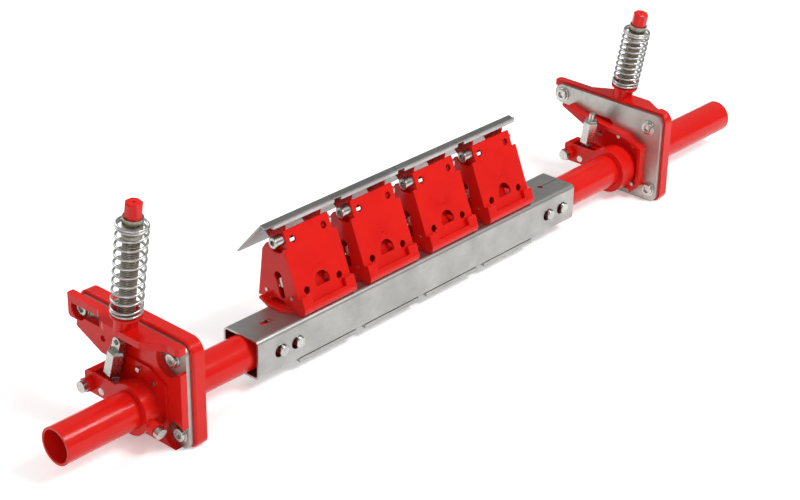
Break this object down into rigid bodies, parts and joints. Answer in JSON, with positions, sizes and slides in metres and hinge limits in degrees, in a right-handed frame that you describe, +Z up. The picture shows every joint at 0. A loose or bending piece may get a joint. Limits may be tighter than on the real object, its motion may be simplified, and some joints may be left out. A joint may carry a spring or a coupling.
{
  "type": "conveyor belt scraper",
  "caption": "Belt scraper with a row of sprung rocking blades on a telescoping tube, held between two spring-tensioned mounts.",
  "frame": {"origin": "Middle of the base of the whole scraper, which stands on the lower edges of its two mounts.", "axes": "+X runs along the tube and the row of blades, +Y points to the back, away from the fronts of the blade housings, and +Z is up towards the blades."},
  "size_m": [1.647, 0.256, 0.3886],
  "materials": {
    "red_paint": "glossy",
    "stainless": "brushed",
    "zinc": "bright plated",
    "spring_steel": "bright plated wire",
    "grey_steel": "satin",
    "buffer_rubber": "matte"
  },
  "bodies": {
    "mounts": {"bearing_bushes": "red_paint", "bearing_flange_left": "red_paint", "bearing_flange_right": "red_paint", "bracket_left": "red_paint", "bracket_right": "red_paint", "clamp_plate_left": "red_paint", "flange_screws": "zinc", "inner_flange_right": "red_paint", "mount_bolts": "zinc", "slide_plate_left": "stainless", "slide_plate_right": "stainless", "spring_left": "spring_steel", "spring_right": "spring_steel"},
    "tube_left_body": {"tube_left": "red_paint"},
    "tube_right_body": {"tube_right": "red_paint"},
    "stop_rod": {"stop_rod_right": "zinc"},
    "spindle_left_body": {"spindle_left": "grey_steel"},
    "link_left_body": {"link_left": "zinc"},
    "sleeve_left_body": {"spring_sleeve_left": "grey_steel"},
    "cap_left_body": {"adjusting_cap_left": "red_paint"},
    "spindle_right_body": {"spindle_right": "grey_steel"},
    "link_right_body": {"link_right": "zinc"},
    "sleeve_right_body": {"spring_sleeve_right": "grey_steel"},
    "cap_right_body": {"adjusting_cap_right": "red_paint"},
    "blade_1_body": {"blade_rocker_1": "red_paint", "scraper_blade_1": "stainless", "tip_bar_1": "stainless"},
    "blade_2_body": {"blade_rocker_2": "red_paint", "scraper_blade_2": "stainless", "tip_bar_2": "stainless"},
    "blade_3_body": {"blade_rocker_3": "red_paint", "scraper_blade_3": "stainless", "tip_bar_3": "stainless"},
    "blade_4_body": {"blade_rocker_4": "red_paint", "scraper_blade_4": "stainless", "tip_bar_4": "stainless"},
    "axle": {"bottom_strips": "stainless", "carrier_box": "stainless", "carrier_clamp_bolts": "zinc", "clevis_pins": "zinc", "housing_1": "red_paint", "housing_2": "red_paint", "housing_3": "red_paint", "housing_4": "red_paint", "lever_bolts": "zinc", "lever_collar_left": "red_paint", "lever_collar_right": "red_paint", "lock_nuts": "red_paint", "module_bolts": "zinc", "pivot_pin_1": "zinc", "pivot_pin_2": "zinc", "pivot_pin_3": "zinc", "pivot_pin_4": "zinc", "rubber_buffers": "buffer_rubber", "saddle_base_1": "red_paint", "saddle_base_2": "red_paint", "saddle_base_3": "red_paint", "saddle_base_4": "red_paint", "stop_lever_right": "red_paint"}
  },
  "joints": [
    {"name": "scraper_tilt", "type": "hinge", "parent": "mounts", "child": "axle", "pos_m": [-0.0745, -0.043, 0.058], "axis": [1, 0, 0], "range_deg": [-10, 2], "stiffness_Nm_per_rad": 21, "springref_deg": 7.85},
    {"name": "tube_left_slide", "type": "slide", "parent": "axle", "child": "tube_left_body", "axis": [1, 0, 0], "range_m": [-0.06, 0.04]},
    {"name": "tube_right_slide", "type": "slide", "parent": "axle", "child": "tube_right_body", "axis": [1, 0, 0], "range_m": [-0.04, 0.06]},
    {"name": "blade_1_tilt", "type": "hinge", "parent": "axle", "child": "blade_1_body", "pos_m": [-0.3037, -0.01752, 0.20353], "axis": [1, 0, 0], "range_deg": [-3.6, 1.5], "stiffness_Nm_per_rad": 60},
    {"name": "blade_2_tilt", "type": "hinge", "parent": "axle", "child": "blade_2_body", "pos_m": [-0.1549, -0.01752, 0.20353], "axis": [1, 0, 0], "range_deg": [-3.6, 1.5], "stiffness_Nm_per_rad": 60},
    {"name": "blade_3_tilt", "type": "hinge", "parent": "axle", "child": "blade_3_body", "pos_m": [-0.0061, -0.01752, 0.20353], "axis": [1, 0, 0], "range_deg": [-3.6, 1.5], "stiffness_Nm_per_rad": 60},
    {"name": "blade_4_tilt", "type": "hinge", "parent": "axle", "child": "blade_4_body", "pos_m": [0.1427, -0.01752, 0.20353], "axis": [1, 0, 0], "range_deg": [-3.6, 1.5], "stiffness_Nm_per_rad": 60},
    {"name": "spindle_left_slide", "type": "slide", "parent": "mounts", "child": "spindle_left_body", "axis": [0, -0.165, 0.9863], "range_m": [-0.011, 0.0025], "deforming": ["spring_left"]},
    {"name": "link_left_pivot", "type": "hinge", "parent": "spindle_left_body", "child": "link_left_body", "pos_m": [-0.6725, -0.00915, 0.153], "axis": [1, 0, 0], "range_deg": [-1.5, 0.6]},
    {"name": "cap_left_turn", "type": "hinge", "parent": "sleeve_left_body", "child": "cap_left_body", "pos_m": [-0.662, -0.013, 0.176], "axis": [0, -0.165, 0.9863], "range_deg": [-1085, 725]},
    {"name": "sleeve_left_slide", "type": "slide", "parent": "spindle_left_body", "child": "sleeve_left_body", "axis": [0, -0.165, 0.9863], "range_m": [-0.009, 0.006]},
    {"name": "spindle_right_slide", "type": "slide", "parent": "mounts", "child": "spindle_right_body", "axis": [0, -0.165, 0.9863], "range_m": [-0.011, 0.0025], "deforming": ["spring_right"]},
    {"name": "link_right_pivot", "type": "hinge", "parent": "spindle_right_body", "child": "link_right_body", "pos_m": [0.5515, -0.00915, 0.153], "axis": [1, 0, 0], "range_deg": [-1.5, 0.6]},
    {"name": "cap_right_turn", "type": "hinge", "parent": "sleeve_right_body", "child": "cap_right_body", "pos_m": [0.541, -0.013, 0.176], "axis": [0, -0.165, 0.9863], "range_deg": [-1085, 725]},
    {"name": "sleeve_right_slide", "type": "slide", "parent": "spindle_right_body", "child": "sleeve_right_body", "axis": [0, -0.165, 0.9863], "range_m": [-0.009, 0.006]},
    {"name": "stop_rod_pivot", "type": "hinge", "parent": "axle", "child": "stop_rod", "pos_m": [0.4765, 0.018, 0.063], "axis": [1, 0, 0], "range_deg": [-2, 2]}
  ],
  "couplings": [
    {"joint": "spindle_left_slide", "follows": "scraper_tilt", "m_per_rad": 0.05935},
    {"joint": "link_left_pivot", "follows": "scraper_tilt", "ratio": 0.1006},
    {"joint": "cap_left_turn", "follows": "sleeve_left_slide", "rad_per_m": 2094.4},
    {"joint": "spindle_right_slide", "follows": "scraper_tilt", "m_per_rad": 0.05935},
    {"joint": "link_right_pivot", "follows": "scraper_tilt", "ratio": 0.1006},
    {"joint": "cap_right_turn", "follows": "sleeve_right_slide", "rad_per_m": 2094.4}
  ]
}
